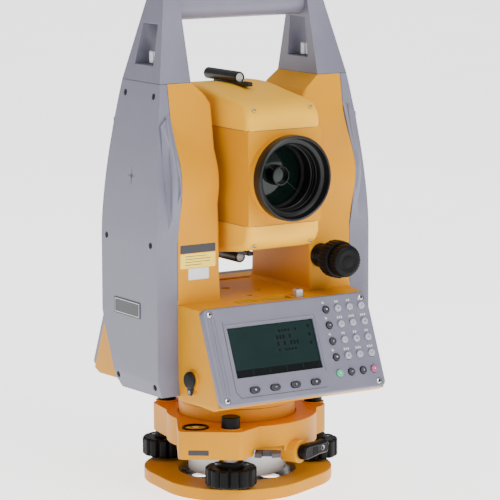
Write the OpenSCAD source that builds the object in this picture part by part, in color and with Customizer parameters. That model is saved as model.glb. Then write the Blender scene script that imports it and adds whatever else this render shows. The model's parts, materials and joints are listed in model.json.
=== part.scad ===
/* [Body] */
// Width over the two side covers
body_w = 160; // [156:1:166]
// Width of the yellow body between the covers
frame_w = 130; // [128:1:132]
// Clear width between the two standards
yoke_w = 68; // [66:1:69]
// Half depth of the standards at their foot
standard_y = 35; // [34:0.5:36]
// Underside of the turning body above the tripod head
body_z = 70; // [70:0.5:71]
// Floor of the yoke, under the telescope
floor_z = 126; // [124:0.5:127]
// Joint between the body and the carrying handle
handle_z = 265; // [262:1:268]
// Depth that the standards bulge around the trunnion
bulge_y = 9; // [0:0.5:10]
// Wall of the cast body
wall = 4.5; // [4:0.5:5]

/* [Telescope] */
// Height of the trunnion axis above the tripod head
trunnion_z = 206; // [204:1:208]
// Width of the telescope body
scope_w = 54; // [50:1:56]
// Half height of the middle telescope shell
scope_split = 30; // [29:0.5:31]
// Front face of the telescope from the trunnion axis
scope_front = 58; // [56:0.5:60]
// Rear face of the telescope from the trunnion axis
scope_rear = 50; // [48:0.5:52]
// Outer radius of the objective ring
objective_r = 27.1; // [26:0.1:27.1]
// Front edge of the objective ring from the trunnion axis
objective_y = 70.7; // [69:0.1:71]
// Rear edge of the objective ring from the trunnion axis
objective_back = 63.5; // [62:0.5:64]
// Outer radius of the focusing ring
focus_r = 22; // [20:0.5:24]
// Distance of each sight from the trunnion axis
sight_z = 58.2; // [58:0.1:59]

/* [Keyboards] */
// Width of a keyboard panel
panel_w = 124; // [122:1:126]
// Height of a keyboard panel along its slope
panel_h = 62.8; // [61:0.1:64]
// Lean of the panel back from the vertical
panel_lean = 22.5; // [20:0.5:25]
// Distance from the vertical axis to the panel centre
panel_y = 70.15; // [69:0.05:71]
// Height of the panel centre
panel_z = 98.6; // [98:0.1:99]
// Thickness of the panel
panel_t = 4; // [3.5:0.1:4]

/* [Handle] */
// Top of the carrying handle
handle_top = 329; // [326:1:334]
// Underside of the grip
grip_z = 302.4; // [300:0.2:304]
// Inner face of each handle leg
leg_x = 47.6; // [46:0.2:48]

/* [Levelling base] */
// Distance of each foot screw from the vertical axis
foot_r = 56; // [55:0.5:57]
// Angle of the front foot screw
arm_angle = -36; // [-60:1:60]
// Radius of a foot-screw knob
knob_r = 16.4; // [15:0.1:17]
// Underside of the tribrach casting
tribrach_z = 28; // [28:0.5:29]
// Top of the tribrach casting
tribrach_top = 46; // [46:0.5:47]
// Thickness of the base plate
base_t = 8; // [8:0.5:9]

/* [Tripod thread] */
// Core radius of the 5/8 inch tripod thread
tripod_r = 6.75; // [6.6:0.05:6.9]

/* [Hidden] */
$fn = 64;
fit = 0.05;
half_w = body_w / 2;
frame_x = frame_w / 2;
yoke_x = yoke_w / 2;
scope_x = scope_w / 2;
bump_half = 40;
bulge_turn = 10.2;
hollow_share = 0.35;
taper_z = 170;
taper_y = 11.5;
leg_y = 23.5;
grip_r = 8.5;
knob_x = 42;
knob_z = 149.5;
side_knob_y = 6;
side_knob_z = 86;
knob_reach = 32.5;
side_reach = 24.5;
vial_z = 122.4;
collar_z = 54.2;
skirt_z = 54.6;
skirt_r = 38.5;
lever_x = -9.5;
lever_z = 27;
vial_across = -22.6;
vial_along = -54.2;
plummet_z = 61.2;
battery_y = [-23, 24.9];
battery_z = [100.3, 175.7];
port_y = -51;
port_z = 82;
port_face = frame_x;
key_pitch_x = 9;
key_pitch_y = 10.4;
key_x = 28.4;
key_top = 22.1;
f_key_x = -36;
f_key_pitch = 15.1;
f_key_y = -23;
low_key_y = -19.6;
key_r = 2.4;
window = [64, 32.2];
window_at = [-14.8, 1.5];
screw_at = [57, 27.6];

yellow = [1, 0.7, 0.2];
pale_yellow = [1, 0.8, 0.5];
grey = [0.58, 0.58, 0.63];
black = [0.08, 0.08, 0.09];
steel = [0.7, 0.7, 0.72];
glass = [0.1, 0.2, 0.2];
pale = [0.85, 0.87, 0.88];
board = [0.1, 0.4, 0.25];

// Half depth of a standard at height z, without the bulge
function half_depth(z) =
    z < taper_z ? standard_y
    : standard_y - taper_y * pow((z - taper_z) / (handle_z - taper_z), 1.5);

// Extra depth of the bulge around the trunnion
function bulge(z) =
    abs(z - trunnion_z) < bump_half
    ? bulge_y * pow(cos(90 * (z - trunnion_z) / bump_half), 2) : 0;

// Half width over the side covers at height z
function cover_x(z) =
    z < 160 ? half_w : half_w - 10 * pow((z - 160) / (handle_z - 160), 1.7);

standard_levels = [for (z = [taper_z : 5 : handle_z]) z];

// Place children on each of the three arms of the levelling base
module on_arms(r = foot_r) {
    for (i = [0 : 2]) rotate([0, 0, arm_angle + 120 * i]) translate([0, -r, 0]) children();
}

// Turn a profile drawn in Y and Z into a solid running along X
module along_x(x0, x1) {
    translate([x0, 0, 0]) rotate([90, 0, 90]) linear_extrude(x1 - x0) children();
}

// Turn a profile drawn in X and Z into a solid running along Y
module along_y(y0, y1) {
    translate([0, y1, 0]) rotate([90, 0, 0]) linear_extrude(y1 - y0) children();
}

// Cylinder along Y from y0 to y1
module rod_y(x, z, r, y0, y1) {
    translate([x, y1, z]) rotate([90, 0, 0]) cylinder(r = r, h = y1 - y0);
}

// Cylinder along X from x0 to x1
module rod_x(y, z, r, x0, x1) {
    translate([x0, y, z]) rotate([0, 90, 0]) cylinder(r = r, h = x1 - x0);
}

// Box given by its lowest and highest corners
module box(a, b) {
    translate(a) cube(b - a);
}

module rounded_rect(w, h, r) {
    square([w - 2 * r, h], center = true);
    square([w, h - 2 * r], center = true);
    for (x = [-1, 1], y = [-1, 1]) translate([x * (w / 2 - r), y * (h / 2 - r)]) circle(r);
}

// Gear-like grip outline with n round flutes
module fluted(r, n, flute) {
    difference() {
        circle(r);
        for (i = [0 : n - 1]) rotate(360 * (i + 0.5) / n) translate([r, 0]) circle(flute, $fn = 16);
    }
}

// ---------------------------------------------------------------- levelling base

module base_plate() {
    color(yellow) difference() {
        hull() on_arms(14) cylinder(r = 49.5, h = base_t);
        translate([0, 0, 3.5]) cylinder(r = 38.5, h = base_t);
        translate([0, 0, -1]) cylinder(r = 30, h = base_t);
        on_arms() translate([0, 0, 2.5]) cylinder(r = 4.25, h = base_t);
    }
}

module spring_plate() {
    color(steel) difference() {
        union() {
            translate([0, 0, 3.5]) cylinder(r = 38, h = 2);
            cylinder(r = 13, h = 12);
        }
        translate([0, 0, -1]) cylinder(r = tripod_r, h = 20);
        for (i = [0 : 2]) rotate([0, 0, arm_angle + 60 + 120 * i])
            translate([0, -26, 3]) cylinder(r = 6, h = 4);
    }
}

module foot_screw(i) {
    color(black) rotate([0, 0, arm_angle + 120 * i]) translate([0, -foot_r, 0]) {
        translate([0, 0, 10]) linear_extrude(11.9) fluted(knob_r, 16, 1.4);
        translate([0, 0, 21.4]) cylinder(r = 8, h = 3.8);
        translate([0, 0, 2.6]) cylinder(r = 4.2, h = 9);
        translate([0, 0, 24]) cylinder(r = 5, h = 19.3);
        translate([0, 0, 43]) cylinder(r = 4, h = 6.8);
    }
}

module lever_frame() {
    rotate([0, 0, arm_angle + 60]) translate([lever_x, 0, lever_z]) children();
}

module tribrach_outline() {
    circle(46);
    intersection() {
        circle(52);
        rotate(arm_angle + 60) translate([-60, -60]) square([120, 60]);
    }
    for (i = [0 : 2]) rotate(arm_angle + 120 * i) hull() {
        circle(42, $fn = 96);
        for (x = [-7, 7]) translate([x, -54.5]) circle(6, $fn = 32);
    }
    rotate(arm_angle) hull() {
        circle(40, $fn = 64);
        for (x = [-29, 5]) translate([x, -62.5]) circle(4, $fn = 32);
    }
}

module tribrach_body() {
    color(yellow) difference() {
        union() {
            translate([0, 0, tribrach_z]) linear_extrude(tribrach_top - tribrach_z) tribrach_outline();
            lever_frame() rod_y(0, 0, 7.5, -55.6, -44);
        }
        translate([0, 0, tribrach_z - 8]) cylinder(r = 40.5, h = 15);
        translate([0, 0, tribrach_z]) cylinder(r = 31.05, h = 20);
        translate([0, 0, 40]) cylinder(r = 38.8, h = 10);
        on_arms() translate([0, 0, 20]) cylinder(r = 5 + fit, h = 40);
        on_arms(35.8) translate([0, 0, 30]) cylinder(r = 3.4, h = 12);
        lever_frame() rod_y(0, 0, 3 + fit, -60, -40.8);
        rotate([0, 0, arm_angle]) {
            box([14, -60, tribrach_z - 1], [33, -38, tribrach_z + 4]);
            translate([vial_across, vial_along, tribrach_top - 5]) cylinder(r = 8.65, h = 10);
        }
    }
}

module centre_drum() {
    color(pale) difference() {
        union() {
            translate([0, 0, 8.5]) cylinder(r = 32, h = 20);
            translate([0, 0, tribrach_z]) cylinder(r = 40.4, h = 1.4);
        }
        translate([0, 0, 6]) cylinder(r = 27.5, h = 26);
    }
}

module screw_caps() {
    color(black) on_arms() translate([0, 0, tribrach_top]) difference() {
        cylinder(r = 6, h = 8.2);
        translate([0, 0, -1]) cylinder(r = 4.5, h = 8);
    }
}

module clamp_ring() {
    color(steel) difference() {
        translate([0, 0, tribrach_z + 1.6]) cylinder(r = 40.2, h = 5.2);
        translate([0, 0, tribrach_z]) cylinder(r = 31.6, h = 9);
        for (i = [0 : 2], a = [-16 : 4 : 4]) rotate([0, 0, arm_angle + 120 * i + a])
            translate([0, -35.8, tribrach_z]) cylinder(r = 3.4, h = 9);
    }
}

module lock_lever() {
    color(black) lever_frame() {
        rod_y(0, 0, 3, -56.5, -42);
        difference() {
            hull() {
                rod_y(0, 0, 5, -62, -56);
                rod_y(21, 0, 4.5, -61, -56);
            }
            rod_y(17, 0, 1.2, -63, -58);
        }
    }
}

module vial_cup() {
    color(black) rotate([0, 0, arm_angle]) translate([vial_across, vial_along, tribrach_top - 5])
        difference() {
            cylinder(r = 8.6, h = 5.7);
            translate([0, 0, 1]) cylinder(r = 7.1, h = 6);
        }
}

module vial_glass() {
    color(glass) rotate([0, 0, arm_angle]) translate([vial_across, vial_along, tribrach_top - 4])
        cylinder(r = 7.05, h = 4.3);
}

module centring_flange() {
    color(yellow) difference() {
        union() {
            translate([0, 0, 40]) cylinder(r = 38.5, h = 5);
            translate([0, 0, 44]) cylinder(r = 38, h = collar_z - 44);
            translate([0, 0, 30.5]) cylinder(r = 31, h = 12);
            on_arms(35.8) translate([0, 0, 30]) cylinder(r = 3, h = 11);
        }
        translate([0, 0, 29]) cylinder(r = 14, h = 40);
        translate([0, 0, 34]) difference() {
            cylinder(r = 27, h = 17);
            cylinder(r = 18, h = 17);
        }
    }
}

module axis_bush() {
    color(steel) difference() {
        translate([0, 0, 31]) cylinder(r = 14, h = 29);
        translate([0, 0, 30]) cylinder(r = 10 + fit, h = 40);
    }
}

module horizontal_circle() {
    color(glass) difference() {
        translate([0, 0, 57]) cylinder(r = 33, h = 2);
        translate([0, 0, 50]) cylinder(r = 14.02, h = 20);
    }
}

// ---------------------------------------------------------------- turning body

// Side outline of the body and its standards, without the bulge
module standard_outline() {
    polygon(concat(
        [[-standard_y, body_z]],
        [for (z = standard_levels) [-half_depth(z), z]],
        [for (i = [len(standard_levels) - 1 : -1 : 0])
            let (z = standard_levels[i]) [half_depth(z), z]],
        [[standard_y, body_z]]));
}

// Side outline of the bulge around the trunnion, on the -Y side
module bulge_outline() {
    levels = [for (z = standard_levels) if (abs(z - trunnion_z) < bump_half) z];
    polygon(concat([[-20, levels[len(levels) - 1]], [-20, levels[0]]],
        [for (z = levels) [-half_depth(z) - bulge(z), z]]));
}

// Bulges on both faces of one standard, fading out towards the yoke
module standard_bulge() {
    for (f = [0, 1]) mirror([0, f, 0]) intersection() {
        translate([frame_x, -standard_y, 0]) rotate([0, 0, -bulge_turn]) translate([-frame_x, standard_y, 0])
            along_x(yoke_x - 9, frame_x + 9) bulge_outline();
        box([yoke_x, -60, 150], [frame_x, -12, 260]);
    }
}

// Front outline of the U-shaped body
module yoke_outline() {
    difference() {
        translate([-frame_x, body_z]) square([frame_w, handle_z - body_z]);
        polygon([[-yoke_x, floor_z + 2.5], [-yoke_x + 2.5, floor_z], [yoke_x - 2.5, floor_z],
            [yoke_x, floor_z + 2.5], [yoke_x, 251], [yoke_x + 3, 256], [leg_x, handle_z],
            [leg_x, handle_z + 9], [-leg_x, handle_z + 9], [-leg_x, handle_z],
            [-yoke_x - 3, 256], [-yoke_x, 251]]);
    }
}

// Side outline of the hollow in each standard
module cavity_outline() {
    levels = [for (z = standard_levels) if (z < 252) z];
    polygon(concat(
        [[wall - standard_y, 76]],
        [for (z = levels) [wall - half_depth(z) - hollow_share * bulge(z), z]],
        [[-14, 257], [14, 257]],
        [for (i = [len(levels) - 1 : -1 : 0])
            let (z = levels[i]) [half_depth(z) + hollow_share * bulge(z) - wall, z]],
        [[standard_y - wall, 76]]));
}

module alidade_frame() {
    inner = standard_y - wall;
    color(yellow) difference() {
        union() {
            intersection() {
                along_x(-frame_x, frame_x) standard_outline();
                along_y(-60, 60) yoke_outline();
            }
            for (s = [0, 1]) mirror([s, 0, 0]) standard_bulge();
            translate([0, 0, skirt_z]) cylinder(r = skirt_r, h = body_z - skirt_z + 1);
        }
        translate([0, 0, skirt_z - 1]) cylinder(r = 34.5, h = 68 - skirt_z);
        translate([0, 0, 60]) cylinder(r = 20, h = 12);
        box([-frame_x - 1, -inner, 76], [frame_x + 1, inner, floor_z - 5]);
        for (s = [-1, 1]) along_x(s < 0 ? -frame_x - 1 : yoke_x + wall,
            s < 0 ? -yoke_x - wall : frame_x + 1)
            cavity_outline();
        rod_x(0, trunnion_z, 14, -yoke_x - wall - 1, -yoke_x + 1);
        rod_x(0, trunnion_z, 14, yoke_x - 1, yoke_x + wall + 1);
        rod_y(knob_x, knob_z, 5 + fit, -standard_y - 1, -24);
        for (h = [[-4, 7], [9.7, -9], [-6.3, -24]]) translate([h[0], h[1], floor_z - 8])
            cylinder(r = 3, h = 12);
        for (s = [-1, 1]) translate([s * 57, 0, 250]) cylinder(r = 3 + fit, h = 20);
    }
}

module axis_spindle() {
    color(steel) difference() {
        union() {
            translate([0, 0, 33]) cylinder(r = 10, h = 34);
            translate([0, 0, 66]) cylinder(r = 20, h = 6);
        }
        translate([0, 0, 20]) cylinder(r = 5, h = 60);
    }
}

// Side outline of a grey cover, inset by d
module cover_outline(d = 0) {
    polygon(concat(
        [[-37 + d, 69.5 + d], [-standard_y + d, 80]],
        [for (z = standard_levels) [-half_depth(z) + d, min(z, handle_z - 0.3 - d)]],
        [for (i = [len(standard_levels) - 1 : -1 : 0])
            let (z = standard_levels[i]) [half_depth(z) - d, min(z, handle_z - 0.3 - d)]],
        [[standard_y - d, 116], [32 - d, 106], [25 - d, 90], [19 - d, 74], [13 - d, 68.5 + d]]));
}

// Front outline of the cover on the +X side, with its outer face inset by d
module cover_section(d = 0) {
    polygon(concat(
        [[frame_x + (d > 0 ? -1 : 0), 60], [half_w - 3 - d, 60], [half_w - d, 80]],
        [for (z = [155 : 10 : 265]) [cover_x(z) - d, z]],
        [[frame_x + (d > 0 ? -1 : 0), handle_z]]));
}

// Crescent that leads the bulge of the standard into the flat edge of the cover
module cover_crescent() {
    for (s = [-1, 1]) hull() {
        along_x(frame_x, frame_x + 1) polygon(concat(
            [for (z = [166 : 8 : 246]) [s * (half_depth(z) + bulge(z)), z]], [[s * 24, 246], [s * 24, 166]]));
        along_x(frame_x + 7, frame_x + 8) polygon([[s * 33, 168], [s * 30, 240], [s * 24, 240], [s * 24, 168]]);
    }
}

module cover_shell() {
    difference() {
        union() {
            intersection() {
                along_x(frame_x, half_w + 1) cover_outline();
                along_y(-60, 60) cover_section();
            }
            cover_crescent();
        }
        intersection() {
            along_x(frame_x - 1, half_w) cover_outline(2.5);
            along_y(-60, 60) cover_section(2.5);
        }
    }
}

module cover_pockets() {
    for (p = cover_screw_at) rod_x(p[0], p[1], 2.1, cover_x(p[1]) - 1.4, half_w + 1);
}

module left_cover() {
    color(grey) mirror([1, 0, 0]) difference() {
        cover_shell();
        cover_pockets();
    }
}

module right_cover() {
    color(grey) difference() {
        cover_shell();
        cover_pockets();
        box([frame_x, battery_y[0] - 0.3, battery_z[0] - 0.3],
            [half_w + 2, battery_y[1] + 0.3, battery_z[1] + 0.3]);
        box([frame_x, -7.4, 180.4], [half_w + 2, 9.4, 191]);
        rod_x(side_knob_y, side_knob_z, 5 + fit, half_w - 5, half_w + 2);
    }
}

cover_screw_at = [[-17.5, 257], [17.5, 257], [-27, 165], [28.5, 165], [-30, 75], [16, 76]];

module housing_screws() {
    color(black) {
        for (s = [-1, 1], p = cover_screw_at)
            mirror([s < 0 ? 1 : 0, 0, 0]) rod_x(p[0], p[1], 1.9, cover_x(p[1]) - 1.4, cover_x(p[1]) - 0.3);
        for (a = [0, 180], x = [-1, 1], y = [-1, 1]) on_panel(a)
            translate([x * screw_at[0], y * screw_at[1], -1.2]) cylinder(r = 2, h = 1.1);
    }
}

module handle_outline() {
    r = 10;
    outer = 70;
    top_x = 58.5;
    difference() {
        hull() {
            translate([-outer, handle_z]) square([2 * outer, 0.1]);
            for (s = [-1, 1]) translate([s * (top_x - r), handle_top - r]) circle(r, $fn = 48);
        }
        translate([-leg_x, handle_z - 1]) square([2 * leg_x, grip_z - handle_z + 1]);
    }
}

module handle_side() {
    hull() {
        translate([-leg_y, handle_z]) square([2 * leg_y, 0.1]);
        translate([-11, grip_z + 4]) square([22, 1]);
        translate([0, handle_top - 9]) circle(9, $fn = 48);
    }
}

// Rounded section of the grip between the posts
module grip_section() {
    hull() {
        translate([0, grip_z + grip_r]) circle(grip_r, $fn = 48);
        translate([0, handle_top - grip_r - 0.5]) circle(grip_r, $fn = 48);
    }
}

module carrying_handle() {
    color(grey) difference() {
        union() {
            for (s = [0, 1]) mirror([s, 0, 0]) intersection() {
                along_y(-30, 30) handle_outline();
                along_x(leg_x, 80) handle_side();
            }
            along_x(-leg_x - 3, leg_x + 3) grip_section();
        }
        along_x(-80, 80) polygon([[-11.5, 275.5], [11.5, 275.5], [8.5, 301], [-8.5, 301]]);
        for (s = [-1, 1]) translate([s * 57, 0, 260]) cylinder(r = 3.6, h = 20);
    }
}

module handle_screw(s) {
    color(steel) translate([s * 57, 0, 0]) {
        translate([0, 0, 275.8]) linear_extrude(8.2) fluted(5.8, 18, 0.5);
        translate([0, 0, 254]) cylinder(r = 3, h = 24);
    }
}

module main_board() {
    color(board) {
        box([-62.5, -22, 84], [-60.9, 22, 230]);
        box([-60.9, -10, 100], [-57, 12, 122]);
    }
}

module trunnion_bearings() {
    color(steel) for (s = [-1, 1]) difference() {
        rod_x(0, trunnion_z, 14, s < 0 ? -yoke_x - wall : yoke_x, s < 0 ? -yoke_x : yoke_x + wall);
        rod_x(0, trunnion_z, 9 + fit, -60, 60);
    }
}

module plate_vial() {
    color(glass) {
        rod_x(-44, vial_z, 3.6, -28.5, 11.5);
        box([15.3, -47.8, vial_z], [20.9, -42.2, 131.3]);
    }
}

module battery_pack() {
    color(grey) box([57, battery_y[0], battery_z[0]], [half_w - 0.6, battery_y[1], battery_z[1]]);
}

module battery_latch() {
    color(black) {
        box([half_w - 5, -6.9, 181], [half_w - 0.4, 8.9, 187.5]);
        box([frame_x + 1, -3, 182], [half_w - 4, 5, 186]);
    }
}

module port_cap() {
    color(black) {
        rod_x(port_y, port_z, 5.4, -port_face - 3.4, -port_face - 0.35);
        box([-port_face - 1.9, port_y - 2.2, port_z - 9.6], [-port_face - 0.35, port_y + 2.2, port_z - 3]);
        rod_y(-port_face - 1.1, port_z - 8.6, 0.75, port_y - 3, port_y + 3);
    }
}

module plummet_tube() {
    color(black) difference() {
        rod_y(0, plummet_z, 5.4, 37, 56);
        rod_y(0, plummet_z, 3.6, 36, 57);
        translate([0, 0, 50]) cylinder(r = skirt_r, h = 30);
    }
}

module plummet_eyepiece() {
    color(black) difference() {
        translate([0, 66, plummet_z]) rotate([90, 0, 0]) linear_extrude(9.7) fluted(5.5, 12, 0.5);
        rod_y(0, plummet_z, 3.2, 50, 70);
    }
}

// ---------------------------------------------------------------- keyboards

// Local frame of a keyboard: x to the right, y up the slope, z out of the panel
module on_panel(turn = 0) {
    rotate([0, 0, turn]) translate([0, -panel_y, panel_z]) rotate([90 - panel_lean, 0, 0]) children();
}

// Wedge between the body and the keyboard panel
module housing_wedge() {
    hull() {
        box([-frame_x, -standard_y - 1, body_z - 2.5], [frame_x, -standard_y, floor_z + 1]);
        on_panel() translate([-panel_w / 2, -panel_h / 2, -panel_t - 7]) cube([panel_w, panel_h, 7]);
    }
}

module keyboard_housing() {
    difference() {
        housing_wedge();
        on_panel() translate([-59, -28, -panel_t - 4]) cube([118, 56, 6]);
        box([-52, -62, 76], [52, -standard_y + 1, 112]);
        translate([0, 0, skirt_z]) cylinder(r = skirt_r, h = body_z - skirt_z + 1);
    }
}

module front_housing() {
    color(yellow) {
        difference() {
            keyboard_housing();
            box([-28.8, -48, vial_z - 3.7], [11.8, -40, 140]);
            box([15.1, -48, vial_z], [21.1, -42, 140]);
        }
        difference() {
            rod_x(port_y, port_z, 6.6, -port_face, -58);
            rod_x(port_y, port_z, 4, -port_face - 1, -60);
        }
    }
}

module rear_housing() {
    color(yellow) difference() {
        rotate([0, 0, 180]) keyboard_housing();
        rod_y(0, plummet_z, 6.4, 40, 84);
    }
}

// Every key of a keyboard as [x, y, group]
function key_places(group) =
    group == "function" ? [for (i = [0 : 3]) [f_key_x + f_key_pitch * i, f_key_y]]
    : group == "arrow" ? concat([for (j = [0 : 3]) [key_x, key_top - key_pitch_y * j]],
        [for (i = [1 : 2]) [key_x + key_pitch_x * i, low_key_y]])
    : group == "number" ? [for (i = [1 : 3], j = [0 : 3]) [key_x + key_pitch_x * i, key_top - key_pitch_y * j]]
    : group == "enter" ? [[key_x, low_key_y]]
    : [[key_x + key_pitch_x * 3 - 0.6, low_key_y]];

function key_long(group) = group == "function" ? 3.4 : 0;

// Straight sides of a key: a circle drawn out by long
module key_shape(r, long) {
    circle(r);
    if (long > 0) {
        square([long, 2 * r], center = true);
        for (s = [-1, 1]) translate([s * long / 2, 0]) circle(r);
    }
}

// Raised head, stem and retaining flange of each key in a group
module key_group(group) {
    r = group == "function" ? 1.9 : key_r;
    long = key_long(group);
    for (p = key_places(group)) translate([p[0], p[1], 0]) {
        translate([0, 0, -panel_t - 0.4]) linear_extrude(panel_t + 1.8) key_shape(r, long);
        translate([0, 0, -panel_t - 0.9]) linear_extrude(0.7) key_shape(r + 0.7, long);
    }
}

module keyboard_panel() {
    difference() {
        translate([0, 0, -panel_t]) linear_extrude(panel_t) difference() {
            rounded_rect(panel_w, panel_h, 4);
            for (g = ["function", "arrow", "number", "enter", "power"], p = key_places(g))
                translate(p) key_shape((g == "function" ? 1.9 : key_r) + 0.25, key_long(g));
            translate(window_at) square(window, center = true);
        }
        translate([window_at[0], window_at[1], -panel_t - 1]) linear_extrude(panel_t - 0.2)
            square(window + [2.8, 2.8], center = true);
        for (x = [-1, 1], y = [-1, 1]) translate([x * screw_at[0], y * screw_at[1], -1.2])
            cylinder(r = 2.2, h = 3);
    }
}

module front_panel() {
    color(grey) on_panel() keyboard_panel();
}

module rear_panel() {
    color(grey) on_panel(180) keyboard_panel();
}

module displays() {
    color(glass) for (a = [0, 180]) on_panel(a)
        translate([window_at[0], window_at[1], -panel_t]) linear_extrude(panel_t - 1.25)
            square(window + [2.6, 2.6], center = true);
}

module key_boards() {
    color(board) for (a = [0, 180]) on_panel(a) translate([-57, -27, -panel_t - 3.8]) cube([114, 54, 1.4]);
}

module front_function_keys() {
    color(black) on_panel() key_group("function");
}

module front_arrow_keys() {
    color(black) on_panel() key_group("arrow");
}

module front_number_keys() {
    color(grey) on_panel() key_group("number");
}

module front_enter_key() {
    color("mediumseagreen") on_panel() key_group("enter");
}

module front_power_key() {
    color("indianred") on_panel() key_group("power");
}

module rear_function_keys() {
    color(black) on_panel(180) key_group("function");
}

module rear_pad_keys() {
    color(grey) on_panel(180) for (g = ["arrow", "number", "enter", "power"]) key_group(g);
}

// ---------------------------------------------------------------- clamps and tangent screws

// Clamp ring with its collar and hollow stem, along -Y from the face at y = 0, sized to
// leave room for its tangent screw within reach
module clamp_turned(r, reach) {
    k = reach / knob_reach;
    difference() {
        union() {
            translate([0, -0.4, 0]) rotate([90, 0, 0]) cylinder(r = 7.8, h = 15 * k);
            translate([0, -15 * k, 0]) rotate([90, 0, 0]) linear_extrude(9 * k) fluted(r, 20, 0.9);
            translate([0, 7, 0]) rotate([90, 0, 0]) cylinder(r = 5, h = 8);
        }
        translate([0, 8, 0]) rotate([90, 0, 0]) cylinder(r = 3 + fit, h = 40);
    }
}

// Tangent-screw knob with its thin stem
module tangent_turned(r, reach) {
    start = 24 * reach / knob_reach + 0.3;
    translate([0, -start, 0]) rotate([90, 0, 0]) linear_extrude(reach - start) fluted(r, 24, 0.6);
    translate([0, 10, 0]) rotate([90, 0, 0]) cylinder(r = 3, h = 10.5 + start);
}

module vertical_clamp_ring() {
    color(black) translate([knob_x, -standard_y, knob_z]) clamp_turned(12, knob_reach);
}

module vertical_tangent_knob() {
    color(black) translate([knob_x, -standard_y, knob_z]) tangent_turned(10.4, knob_reach);
}

module horizontal_clamp_ring() {
    color(black) translate([half_w, side_knob_y, side_knob_z]) rotate([0, 0, 90])
        clamp_turned(11.4, side_reach);
}

module horizontal_tangent_knob() {
    color(black) translate([half_w, side_knob_y, side_knob_z]) rotate([0, 0, 90])
        tangent_turned(9.6, side_reach);
}

// ---------------------------------------------------------------- telescope

// Upper edge of the telescope body from front to rear, as heights over the trunnion
scope_edge = [[-scope_front, 36], [-scope_front + 1.5, 40.5], [-scope_front + 6, 45],
    [-40, 48], [-22, 50.5], [-10, 52.5], [0, 53.9], [12, 54.3], [24, 54], [36, 51],
    [scope_rear - 4, 46], [scope_rear, 40]];

// Profile of the telescope cover above the split line
module scope_cap_profile(s) {
    polygon(concat([[-scope_front, s * scope_split]], [for (p = scope_edge) [p[0], s * p[1]]],
        [[scope_rear, s * scope_split]]));
}

module scope_cap(s) {
    difference() {
        translate([0, 0, trunnion_z]) along_x(-scope_x, scope_x) scope_cap_profile(s);
        translate([-2.2, -18, trunnion_z + (s > 0 ? sight_z - 4.9 : 2.6 - sight_z - 6)])
            cube([4.4, 42, s > 0 ? 6 : 8.3]);
        translate([0, 0, trunnion_z]) along_x(-scope_x + 2.5, scope_x - 2.5) polygon(
            [[-50, 0], [-50, s * 40], [-38, s * 45], [0, s * 50], [30, s * 49], [44, s * 40], [44, 0]]);
    }
}

module telescope_housing() {
    color(yellow) difference() {
        union() {
            translate([0, 0, trunnion_z]) box([-scope_x, -scope_front, -scope_split], [scope_x, scope_rear, scope_split]);
            rod_y(0, trunnion_z, objective_r - 0.3, -objective_back, -scope_front + 1);
        }
        rod_y(0, trunnion_z, 22, -objective_back - 1, scope_rear + 1);
        rod_x(0, trunnion_z, 9, -scope_x - 1, -20);
        rod_x(0, trunnion_z, 9, 20, scope_x + 1);
    }
}

module telescope_top_cover() {
    color(pale_yellow) scope_cap(1);
}

module telescope_bottom_cover() {
    color(pale_yellow) scope_cap(-1);
}

module trunnion_shafts() {
    color(steel) for (s = [0, 1]) mirror([s, 0, 0]) {
        rod_x(0, trunnion_z, 9, 23, 56);
        rod_x(0, trunnion_z, 18, scope_x, yoke_x - 0.6);
    }
}

module vertical_circle() {
    color(glass) difference() {
        rod_x(0, trunnion_z, 27, -47.5, -45.5);
        rod_x(0, trunnion_z, 9.02, -60, -40);
    }
}

module objective_ring() {
    color(black) translate([0, 0, trunnion_z]) rotate([90, 0, 0]) difference() {
        translate([0, 0, objective_back]) cylinder(r = objective_r, h = objective_y - objective_back);
        translate([0, 0, objective_back - 1]) cylinder(r = 22, h = 4);
        translate([0, 0, objective_back + 2]) cylinder(r = 24.6, h = 20);
    }
}

module objective_lens() {
    color(glass) difference() {
        rod_y(0, trunnion_z, 19.5, -46, -41);
        rod_y(0, trunnion_z, 6.4, -47, -40);
    }
}

module inner_barrel() {
    color(black) difference() {
        union() {
            rod_y(0, trunnion_z, 22, 3.5 - scope_front, scope_rear);
            rod_y(0, trunnion_z, 17, scope_rear - 1, scope_rear + 12);
        }
        rod_y(0, trunnion_z, 20.6, -scope_front, -46);
        rod_y(0, trunnion_z, 19.5, -46.2, scope_rear - 8);
        rod_y(0, trunnion_z, 12, scope_rear - 9, scope_rear + 13);
    }
    color(black) difference() {
        rod_y(0, trunnion_z, 6.4, -54, -38);
        rod_y(0, trunnion_z, 5, -55, -40);
    }
}

module sight(s) {
    translate([0, 0, trunnion_z + s * sight_z]) {
        rod_y(0, 0, 3.75, -5.5, 33.5);
        box([-2.2, -18, s > 0 ? -4.9 : 2.6], [2.2, 24, s > 0 ? -2.6 : 4.9]);
    }
}

module collimators() {
    color(black) {
        sight(1);
        sight(-1);
    }
}

module focus_ring() {
    color(black) difference() {
        translate([0, scope_rear + 14, trunnion_z]) rotate([90, 0, 0]) linear_extrude(13.6)
            fluted(focus_r, 28, 0.9);
        rod_y(0, trunnion_z, 17 + fit, scope_rear - 1, scope_rear + 20);
    }
}

module focus_lens_cell() {
    color(glass) difference() {
        rod_y(0, trunnion_z, 19.45, -2, 8);
        rod_y(0, trunnion_z, 15, -3, 1);
        rod_y(0, trunnion_z, 15, 5, 9);
    }
}

module eyepiece() {
    color(black) difference() {
        union() {
            rod_y(0, trunnion_z, 11.95, scope_rear - 6, scope_rear + 14.4);
            translate([0, scope_rear + 25, trunnion_z]) rotate([90, 0, 0]) linear_extrude(10.7)
                fluted(13, 22, 0.6);
        }
        rod_y(0, trunnion_z, 8, scope_rear - 7, scope_rear + 26);
    }
}

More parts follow.
